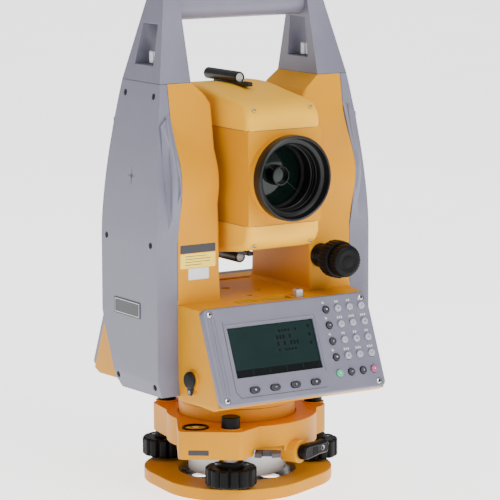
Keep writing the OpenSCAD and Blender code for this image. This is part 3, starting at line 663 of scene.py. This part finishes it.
PITCH_X, PITCH_Y = 9.0, 10.4
KEY_X, KEY_TOP, LOW_Y = 28.4, 22.1, -19.6
FUNCTION_KEYS = [(-36 + 15.1 * i, -23.0) for i in range(4)]
ARROW_KEYS = ([(KEY_X, KEY_TOP - PITCH_Y * j) for j in range(4)]
              + [(KEY_X + PITCH_X * i, LOW_Y) for i in (1, 2)])
NUMBER_KEYS = [(KEY_X + PITCH_X * i, KEY_TOP - PITCH_Y * j) for i in (1, 2, 3) for j in range(4)]
ENTER_KEY = [(KEY_X, LOW_Y)]
POWER_KEY = [(KEY_X + PITCH_X * 3 - 0.6, LOW_Y)]


def key_heads(places, long=0.0, radius=2.4):
    parts = []
    for x, y in places:
        outline = pill(2 * radius + long, 2 * radius, radius, (x, y), 8)
        parts.append(stack([(-4.4, 0)] + bulged(-0.5, 1.38, 0.55, 0.12), outline))
    return merge(*parts)


def key_marks(places, width=1.3, height=0.9):
    """Small generic marks on the key tops."""
    parts = []
    for k, (x, y) in enumerate(places):
        if k % 3 == 0:
            parts.append(prism(circle(0.55, (x, y), 20), 1.36, 1.42))
        elif k % 3 == 1:
            parts.append(prism(rounded(width, 0.36, 0.15, (x, y)), 1.36, 1.42))
        else:
            parts.append(prism(rounded(0.36, height + 0.4, 0.15, (x, y)), 1.36, 1.42))
    return merge(*parts)


def panel_marks():
    """Generic white marks printed over the keys: short dashes and arrows."""
    parts = []
    for k, (x, y) in enumerate(NUMBER_KEYS):
        for n in range(2 + k % 2):
            cx = x + (n - (1 + k % 2) / 2) * 1.5
            parts.append(prism(rounded(0.9, 1.5, 0.2, (cx, y + 4.5)), -0.02, 0.05))
    for k, (x, y) in enumerate(ARROW_KEYS[:4]):
        tips = [(0, 1.1), (-1.0, -0.7), (1.0, -0.7)]
        a = math.radians((0, 180, 90, -90)[k])
        c, s = math.cos(a), math.sin(a)
        shape = [(x - 1.2 + px * c - py * s, y + 4.7 + px * s + py * c) for px, py in tips]
        parts.append(prism(shape, -0.02, 0.05))
    return merge(*parts)


def groove(points, radius=0.22):
    """Thin raised or sunken line through points on a panel."""
    return merge(*[rod((*a, 0.0), (*b, 0.0), radius, 10, 0.2) for a, b in zip(points, points[1:])])


def build_keyboard(turn, side):
    m = on_panel(turn)
    body = "alidade"
    away = lambda p: abs((m.inverted() @ p).x) > 60.5 or abs((m.inverted() @ p).y) > 30
    soft(f"{side}_panel", GREY, rounds=[
        (lambda p: away(p) and (m.inverted() @ p).z > -1, 1.5, 4)], width=0.2)
    top_edge = lambda p: abs(p.x) > 60 or abs((m.inverted() @ p).y) > 30
    soft(f"{side}_housing", YELLOW, rounds=[(top_edge, 1.4, 3)], width=0.3)
    for k, (u, w) in enumerate(((-58.6, 0.6), (-56.3, 0.75), (-53.9, 0.6))):
        rib = rod((u, -24.5, -0.25), (u, 24.5, -0.25), w, 14)
        place(f"{side}_panel_rib_{k}", rib, GREY, body, m)
    frame_line = [(-49.2, 22.5), (-49.6, -22.8), (-46.6, -27.2), (17.4, -27.2)]
    place(f"{side}_recess_line", groove(frame_line), DARK_INK_AND_SHADE, body, m)
    for name, pts in (("a", [(18.9, 18.8), (18.9, -16.6)]), ("b", [(-48.2, 19.4), (18.9, 19.4)])):
        place(f"{side}_window_lip_{name}", groove(pts, 0.45), GREY, body, m)
    screen = stack([(-4.0, 0), (-1.6, 0), (-1.3, 0.3)], pill(66.6, 34.8, 1.0, SCREEN_AT))
    return place(f"{side}_screen", screen, SCREEN, body, m)


def screen_content(turn, side):
    """Generic display segments: a dark band with blocks, and rows of plain bars that spell nothing."""
    m = on_panel(turn)
    band = prism(rounded(63.4, 4.6, 0.3, (SCREEN_AT[0], -11.9)), -1.32, -1.27)
    place(f"{side}_screen_band", band, SCREEN_DARK, "alidade", m)
    bars = []
    for row in range(4):
        for k in range(7 - row % 2):
            if (k * 5 + row * 3) % 7 in (0, 4):
                continue
            bars.append(prism(rounded(1.5, 2.6 if row in (1, 2) else 1.5, 0.15,
                                      (-11 + 2.4 * k, 12.5 - 4.1 * row)), -1.32, -1.28))
    for k in range(3):
        bars.append(prism(rounded(1.6, 1.9, 0.2, (13.2, 13.5 - 5.4 * k)), -1.32, -1.28))
    place(f"{side}_screen_bars", merge(*bars), SCREEN_DARK, "alidade", m)
    ticks = [prism(rounded(0.5, 3.4, 0.15, (-45.8 + 12.4 * k, -11.9)), -1.28, -1.25) for k in range(6)]
    place(f"{side}_screen_ticks", merge(*ticks), SCREEN, "alidade", m)


def build_keyboards():
    screens = [build_keyboard(0, "front"), build_keyboard(180, "rear")]
    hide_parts("displays")
    screen_content(0, "front")
    screen_content(180, "rear")
    dress("key_boards", BOARD)
    groups = [
        ("front_function", 0, FUNCTION_KEYS, 3.4, 1.9, DARK_KEY, "keys_front_function", "dark_key",
         "front_function_keys"),
        ("front_arrow", 0, ARROW_KEYS, 0, 2.4, DARK_KEY, "keys_front_arrow", "dark_key", "front_arrow_keys"),
        ("front_number", 0, NUMBER_KEYS, 0, 2.4, PALE_KEY, "keys_front_number", "pale_key",
         "front_number_keys"),
        ("front_enter", 0, ENTER_KEY, 0, 2.4, GREEN_KEY, "keys_front_enter", "green_key", "front_enter_key"),
        ("front_power", 0, POWER_KEY, 0, 2.4, RED_KEY, "keys_front_power", "red_key", "front_power_key"),
        ("rear_function", 180, FUNCTION_KEYS, 3.4, 1.9, DARK_KEY, "keys_rear_function", "dark_key",
         "rear_function_keys"),
        ("rear_number", 180, NUMBER_KEYS, 0, 2.4, PALE_KEY, "keys_rear_pad", "pale_key", "rear_pad_keys"),
        ("rear_arrow", 180, ARROW_KEYS, 0, 2.4, DARK_KEY, "keys_rear_pad", "pale_key", None),
        ("rear_enter", 180, ENTER_KEY, 0, 2.4, GREEN_KEY, "keys_rear_pad", "pale_key", None),
        ("rear_power", 180, POWER_KEY, 0, 2.4, RED_KEY, "keys_rear_pad", "pale_key", None),
    ]
    for name, turn, places, long, radius, material, body, slot, node in groups:
        heads = key_heads(places, long, radius)
        obj = place(name + "_heads", heads, material, body, on_panel(turn))
        if node:
            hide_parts(node)
        ink = WHITE_INK if material is not PALE_KEY else DARK_INK_AND_SHADE
        place(name + "_tops", key_marks(places), ink, body, on_panel(turn))
    for turn, side in ((0, "front"), (180, "rear")):
        place(f"{side}_printed_marks", panel_marks(), WHITE_INK, "alidade", on_panel(turn))


# ---------------------------------------------------------------- clamps and small parts

def build_knobs():
    smaller = Matrix.Diagonal((0.945, 0.945, 0.754, 1))
    spots = (("vertical", "v", towards((42, -FACE_Y, 149.5), (0, -1, 0))),
             ("horizontal", "h", towards((80, 6, 86), (1, 0, 0)) @ smaller))
    for name, letter, m in spots:
        collar = lathe([(3.05, 0.4), (7.8, 0.4), (7.8, 3.4), (7.2, 4.0), (7.2, 5.0), (7.8, 5.6), (7.8, 13.6),
                        (7.3, 14.6), (3.05, 14.6)], 56)
        obj = place(f"{name}_clamp_collar", collar, BLACK, f"{letter}_clamp", m)
        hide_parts(f"{name}_clamp_ring")
        ring = stack([(14.6, 1.2), (15.2, 0.3), (15.9, 0), (23.0, 0), (23.8, 0.4), (24.2, 1.6), (24.0, 2.6),
                      (24.0, 8.2)], fluted(12.1, 24, 0.4, 0.5, 8))
        place(f"{name}_clamp_grip", ring, BLACK, f"{letter}_clamp", m)
        knob = stack([(24.3, 1.0), (24.8, 0.2), (25.4, 0), (30.6, 0), (31.6, 0.5), (32.2, 1.5), (32.5, 3.0),
                      (32.1, 4.2), (32.0, 9.0)], fluted(10.3, 30, 0.3, 0.55, 8))
        obj = place(f"{name}_tangent_grip", knob, BLACK, f"{letter}_tangent", m)
        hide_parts(f"{name}_tangent_knob")
        stem = lathe([(0, -9.9), (2.6, -9.9), (3.0, -9.4), (3.0, 24.6), (0, 24.6)], 32, closed=False)
        place(f"{name}_tangent_stem", stem, STEEL, f"{letter}_tangent", m)
        cap = lathe([(0, 32.0), (3.4, 32.0), (4.0, 32.15), (3.2, 32.4), (0, 32.45)], 40, closed=False)
        place(f"{name}_tangent_cap", cap, BLACK, f"{letter}_tangent", m)


def build_small_parts():
    m = towards((-65.35, -51, 82), (-1, 0, 0))
    disc = lathe([(0, 0.1), (5.0, 0.1), (5.4, 0.5), (5.4, 1.8), (4.9, 2.6), (4.2, 3.1), (2.0, 3.35),
                  (0, 3.4)], 48, closed=False)
    obj = place("port_cap_disc", disc, RUBBER, "port_flap", m)
    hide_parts("port_cap")
    tab = prism([(-2.2, -8.6), (-1.6, -9.6), (1.6, -9.6), (2.2, -8.6), (3.2, -3), (-3.2, -3)], 0.1, 1.5, 0.4)
    place("port_cap_tab", tab, RUBBER, "port_flap", m)
    eye = lathe([(0, 1.3), (1.0, 1.3), (1.15, 1.55), (0.8, 1.56), (0, 1.4)], 24, closed=False)
    place("port_cap_eye", eye, LENS_PALE, "port_flap", m @ Matrix.Translation((0, -7.6, 0)))
    soft("plummet_tube", ANODISED, width=0.25)
    ring = stack([(0, 0.5), (0.5, 0), (8.4, 0), (9.2, 0.4), (9.7, 1.2)], fluted(5.5, 12, 0.5, 0.5, 10))
    place_at = towards((0, 56.3, 61.2), (0, 1, 0))
    obj = place("plummet_ring", ring, BLACK, "plummet_focus", place_at)
    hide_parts("plummet_eyepiece")
    eye = lathe([(0, 9.3), (2.8, 9.3), (3.4, 9.7), (3.0, 9.75), (0, 9.55)], 32, closed=False)
    place("plummet_eye_lens", eye, GLASS_COAT, "plummet_focus", place_at)

    across = Matrix.Rotation(math.radians(90), 4, "Y")
    on_vial = lambda x: Matrix.Translation((x, -44, 122.4)) @ across
    tube = lathe([(0, -28.4), (2.9, -28.4), (3.5, -27.8), (3.5, 10.8), (2.9, 11.4), (0, 11.4)], 32,
                 closed=False)
    obj = place("plate_vial_tube", tube, VIAL_LIQUID, "alidade",
                on_vial(0))
    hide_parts("plate_vial")
    for x in (-28.4, 8.8):
        cap = lathe([(3.5, 0), (3.6, 0.2), (3.6, 2.4), (3.5, 2.6)], 32)
        place(f"plate_vial_cap_{int(x)}", cap, BRASS, "alidade", on_vial(x))
    for x in (-14, -3):
        line = lathe([(3.5, 0), (3.58, 0), (3.58, 0.4), (3.5, 0.4)], 32)
        place(f"plate_vial_line_{int(x)}", line, DARK_INK_AND_SHADE, "alidade", on_vial(x))
    adjust = stack([(122.6, 0), (130.4, 0), (130.9, 0.4)], pill(5.0, 5.0, 0.5, (18.1, -45)))
    place("vial_adjuster", adjust, DRUM, "alidade")
    # A dark square on the adjuster top: painted shade standing for its socket hole.
    socket_shade = prism(rounded(1.8, 1.8, 0.2, (18.1, -45)), 130.7, 131.0)
    place("vial_adjuster_socket", socket_shade, BLACK_LINING_AND_RECESS_SHADE, "alidade")

    soft("battery_pack", GREY, width=1.0, segments=3)
    for k in range(6):
        rib = rod((79.3, -16, 150 + 3.2 * k), (79.3, 18, 150 + 3.2 * k), 0.55, 12)
        place(f"battery_rib_{k}", rib, GREY, "battery")
    plate = stack([(0, 0), (0.25, 0.1)], pill(34, 18, 1.5))
    plate_at = towards((79.35, 1, 122), (1, 0, 0))
    place("battery_plate", plate, LABEL_DARK, "battery", plate_at)
    soft("battery_latch", BLACK, width=0.5, segments=2)
    for k in range(3):
        rib = rod((79.5, -5, 182.6 + 1.7 * k), (79.5, 7, 182.6 + 1.7 * k), 0.35, 10)
        place(f"latch_rib_{k}", rib, BLACK, "latch")


def build_labels():
    """Blank plates where the instrument has its maker's, warning and serial labels."""
    plate = stack([(-0.1, 0), (0.25, 0), (0.4, 0.2)], pill(33, 10.5, 0.8))
    side = towards((-COVER_X, 2.5, 121.5), (-1, 0, 0))
    place("side_plate", plate, LABEL_DARK, "alidade", side)
    edges = ((30.4, 0.3, (0, 4.2)), (30.4, 0.3, (0, -4.2)), (0.3, 8.4, (15.1, 0)), (0.3, 8.4, (-15.1, 0)))
    frame_bars = merge(*[prism(rounded(w, h, 0.1, c), 0.38, 0.44) for w, h, c in edges])
    place("side_plate_border", frame_bars, DRUM, "alidade", side)
    for s, name in ((-1, "l"), (1, "r")):
        m = towards((s * (cover_x(TRUNNION) - 0.02), 0, TRUNNION), (s, 0, 0.1))
        mark = merge(prism(rounded(9, 0.35, 0.12), -0.02, 0.06), prism(rounded(0.35, 11, 0.12), -0.02, 0.06),
                     lathe([(1.1, -0.02), (1.5, -0.02), (1.5, 0.06), (1.1, 0.06)], 32))
        place(f"height_mark_{name}", mark, DARK_INK_AND_SHADE, "alidade", m)
    sheets = (("header", (-63, -37.3, 159.2, 164.5), LABEL_DARK),
              ("notice", (-63, -37.3, 149.6, 158.9), LABEL_YELLOW),
              ("rating", (-57.2, -42.2, 142.2, 149.3), LABEL_WHITE))
    for name, (west, east, low, high), material in sheets:
        sheet = stack([(-0.1, 0), (0.06, 0), (0.12, 0.08)], pill(east - west, high - low, 0.7))
        place(f"front_label_{name}", sheet, material, "alidade",
              towards(((west + east) / 2, -FACE_Y, (low + high) / 2), (0, -1, 0)))
    rules = merge(*[prism(rounded(w, 0.4, 0.15, (x, z)), 0.1, 0.14)
                    for w, x, z in ((16, -1.5, 3.0), (19, 0, 1.2), (18, -0.5, -0.6), (12, -3.5, -2.4))])
    place("front_label_rules", rules, DARK_INK_AND_SHADE, "alidade",
          towards((-50.1, -FACE_Y, 154.2), (0, -1, 0)))
    strip = stack([(-0.1, 0), (0.1, 0), (0.2, 0.1)], pill(13, 3.3, 0.5))
    place("tribrach_strip", strip, LABEL_DARK, "tribrach",
          Matrix.Rotation(math.radians(ARM), 4, "Z") @ towards((-19.7, -66.5, 32.4), (0, -1, 0)))


# ---------------------------------------------------------------- telescope

def along_scope(y=0.0, back=False, z=TRUNNION):
    """Frame on the line of sight, its Z towards the front, or the back."""
    return towards((0, y, z), (0, 1 if back else -1, 0))


def build_telescope():
    outside = lambda p: abs(p.x) > SCOPE_X - 0.5
    corner = lambda p: outside(p) and (abs(p.y + SCOPE_FRONT) < 1 or abs(p.y - SCOPE_REAR) < 1)
    soft("telescope_housing", YELLOW, rounds=[(corner, 4.0, 6)], width=0.25)
    for node in ("telescope_top_cover", "telescope_bottom_cover"):
        rim = lambda p: outside(p) and abs(p.z - TRUNNION) > 30.2
        soft(node, PALE_YELLOW, rounds=[(rim, 4.0, 6)], width=0.2, angle=40)
    for s in (-1, 1):
        sides = ((45.5, 0.4, (0, -57.98)), (45.5, 0.4, (0, 49.98)), (0.4, 99, (26.98, -4)),
                 (0.4, 99, (-26.98, -4)))
        seam = merge(*[prism(rounded(a, b, 0.05, c), -0.12, 0.12) for a, b, c in sides])
        place(f"cover_seam_{s}", seam, DARK_INK_AND_SHADE, "telescope",
              Matrix.Translation((0, 0, TRUNNION + s * 30)))
    for s in (-1, 1):
        for x in (-21, 21):
            head, cross = screw_head(1.3, 0.7)
            m = towards((x, -55.4, TRUNNION + s * 42.6), (0, -0.75, s * 0.66))
            place(f"scope_screw_{s}_{x}", head, BRASS, "telescope", m)
            # The dark cross on each brass screw is painted shade standing for its cross recess.
            place(f"scope_screw_cross_{s}_{x}", cross, DARK_INK_AND_SHADE, "telescope", m)
    dress("trunnion_shafts", STEEL)
    dress("vertical_circle", CIRCLE_GLASS)
    ring = lathe([(22.05, 63.6), (26.9, 63.6), (27.1, 64.0), (27.1, 69.4), (26.6, 70.4), (25.9, 70.7),
                  (25.3, 70.4), (24.8, 69.0), (24.3, 66.0), (22.6, 65.4), (22.05, 65.4)], 96)
    obj = place("objective_rim", ring, ANODISED, "telescope", along_scope())
    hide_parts("objective_ring")
    barrel = lathe([(22.0, -49.9), (22.0, 65.3), (21.4, 65.4), (20.9, 63.8), (20.9, 59.2), (20.6, 59.0),
                    (20.6, 53.0), (20.9, 52.8), (20.9, 48.4), (19.3, 47.2), (19.3, 46.2), (19.6, 45.8),
                    (19.6, -41.8), (12.1, -42.2), (12.1, -61.4), (12.6, -61.9), (16.4, -61.9), (17.0, -61.3),
                    (17.0, -49.9)], 96)
    obj = place("barrel_tube", barrel, BLACK_LINING_AND_RECESS_SHADE, "telescope", along_scope())
    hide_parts("inner_barrel")
    lens = lathe([(19.5, 41.2), (20.2, 44.4), (16, 45.2), (12, 45.8), (8, 46.1), (6.5, 46.15),
                  (6.5, 41.2)], 80)
    obj = place("front_lens", lens, GLASS_COAT, "telescope", along_scope())
    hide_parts("objective_lens")
    hub = lathe([(4.9, 38.2), (6.35, 38.2), (6.35, 53.2), (6.1, 53.8), (5.3, 53.9), (4.9, 53.2)], 56)
    place("centre_tube", hub, ANODISED, "telescope", along_scope())
    window = lathe([(0, 50.2), (4.95, 50.2), (4.95, 50.9), (0, 51.2)], 48, closed=False)
    place("centre_window", window, GLASS_COAT, "telescope", along_scope())
    for a in (140, 320):
        c, s = math.cos(math.radians(a)), math.sin(math.radians(a))
        wire = rod((6.2 * c, 6.2 * s, 52.6), (20.4 * c, 20.4 * s, 53.4), 0.25, 8)
        place(f"spider_{a}", wire, ANODISED, "telescope", along_scope())
    for k, (r, d) in enumerate(((21.4, 62.0), (20.9, 56.6))):
        line = lathe([(r - 0.7, d), (r, d + 0.25), (r - 0.05, d + 0.7), (r - 0.75, d + 0.45)], 80)
        place(f"bore_step_{k}", line, ANODISED, "telescope", along_scope())
    for s, name in ((1, "top"), (-1, "bottom")):
        z = TRUNNION + s * 58.2
        tube = lathe([(0, -33.5), (2.9, -33.5), (3.75, -32.9), (3.75, 4.6), (3.4, 5.5), (2.9, 5.5),
                      (2.9, 4.4), (0, 4.4)], 48, closed=False)
        obj = place(f"sight_{name}", tube, ANODISED, "telescope", along_scope(0, False, z))
        if s > 0:
            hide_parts("collimators")
        lens = lathe([(0, 4.3), (2.85, 4.3), (2.7, 4.9), (1.6, 5.2), (0, 5.3)], 40, closed=False)
        place(f"sight_lens_{name}", lens, LENS_PALE, "telescope", along_scope(0, False, z))
        eye = lathe([(0, 33.3), (1.4, 33.3), (1.7, 33.5), (0, 33.48)], 32, closed=False)
        place(f"sight_eye_{name}", eye, LENS_PALE, "telescope", along_scope(0, True, z))
        foot = prism(rounded(4.4, 42, 1.2, (0, 3)), -1.15, 1.15, 0.3)
        place(f"sight_foot_{name}", foot, ANODISED, "telescope",
              Matrix.Translation((0, 0, z - s * 3.75)))
        for k in range(4):
            bump = rod((-1.7, -16.6 + 2.1 * k, 0), (1.7, -16.6 + 2.1 * k, 0), 0.55, 12)
            place(f"sight_step_{name}_{k}", bump, ANODISED, "telescope",
                  Matrix.Translation((0, 0, z - s * 2.7)))
    ring = stack([(50.45, 1.2), (51.2, 0.2), (52, 0), (62.2, 0), (63.2, 0.4), (63.9, 1.4)],
                 fluted(22, 26, 0.9, 0.5, 8))
    obj = place("focus_grip", ring, BLACK, "focusing_ring", along_scope(0, True))
    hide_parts("focus_ring")
    dress("focus_lens_cell", CIRCLE_GLASS)
    eye = lathe([(8.0, 44.2), (11.95, 44.2), (11.95, 64.2), (12.2, 64.6), (8.0, 64.6)], 64)
    obj = place("eyepiece_stem", eye, ANODISED, "eyepiece_ring", along_scope(0, True))
    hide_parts("eyepiece")
    grip = stack([(64.4, 0.6), (65, 0), (71, 0), (72.4, 0.8), (74.6, 1.4), (75.0, 2.2), (74.4, 3.2),
                  (73.8, 5.4)], fluted(13, 22, 0.6, 0.5, 8))
    place("eyepiece_grip", grip, BLACK, "eyepiece_ring", along_scope(0, True))
    lens = lathe([(0, 73.7), (7.4, 73.7), (7.0, 74.1), (3.5, 74.4), (0, 74.5)], 48, closed=False)
    place("eyepiece_lens", lens, GLASS_COAT, "eyepiece_ring", along_scope(0, True))


# ---------------------------------------------------------------- studio

def area_light(name, place_at, target, size, power, colour=(1, 1, 1)):
    data = bpy.data.lights.new(name, "AREA")
    data.shape = "RECTANGLE"
    data.size, data.size_y = size
    data.energy = power
    data.color = colour
    obj = bpy.data.objects.new(name, data)
    bpy.context.scene.collection.objects.link(obj)
    obj.location = place_at
    obj.rotation_euler = (Vector(target) - Vector(place_at)).to_track_quat("-Z", "Y").to_euler()
    return obj


def build_studio():
    bm = lathe([(0, -0.4), (11990, -0.4), (12000, -4), (12000, -20), (0, -20)], 128, closed=False)
    bm.transform(Matrix.Scale(MM, 4))
    bmesh.ops.recalc_face_normals(bm, faces=bm.faces)
    mesh = bpy.data.meshes.new("floor")
    bm.to_mesh(mesh)
    bm.free()
    mesh.materials.append(FLOOR)
    floor = bpy.data.objects.new("floor", mesh)
    bpy.context.scene.collection.objects.link(floor)
    world = bpy.data.worlds.new("studio")
    world.use_nodes = True
    world.node_tree.nodes["Background"].inputs["Color"].default_value = (1, 1, 1, 1)
    world.node_tree.nodes["Background"].inputs["Strength"].default_value = 0.5
    bpy.context.scene.world = world
    area_light("key", (0.2, -1.5, 1.3), (0, 0, 0.15), (1.0, 1.0), 27)
    area_light("side", (-1.7, -0.9, 0.5), (0, 0, 0.15), (0.5, 1.0), 2)
    area_light("top", (0.1, 0.3, 1.6), (0, 0, 0.2), (1.4, 1.4), 8)
    data = bpy.data.cameras.new("camera")
    data.sensor_width = 36
    data.lens = 200.8
    data.clip_start, data.clip_end = 0.05, 20
    camera = bpy.data.objects.new("camera", data)
    bpy.context.scene.collection.objects.link(camera)
    right = Vector((0.84506, -0.53466, -0.00358))
    up = Vector((0.08766, 0.13195, 0.98737))
    ahead = Vector((0.52743, 0.83470, -0.15837))
    turn = Matrix((right, up, -ahead)).transposed().to_4x4()
    camera.matrix_world = Matrix.Translation((-0.94458, -1.51165, 0.43756)) @ turn
    bpy.context.scene.camera = camera


build_base()
for index in range(3):
    build_foot_screw(index)
build_tribrach()
build_body()
build_screws()
build_seams()
build_keyboards()
build_knobs()
build_small_parts()
build_labels()
build_telescope()
build_studio()
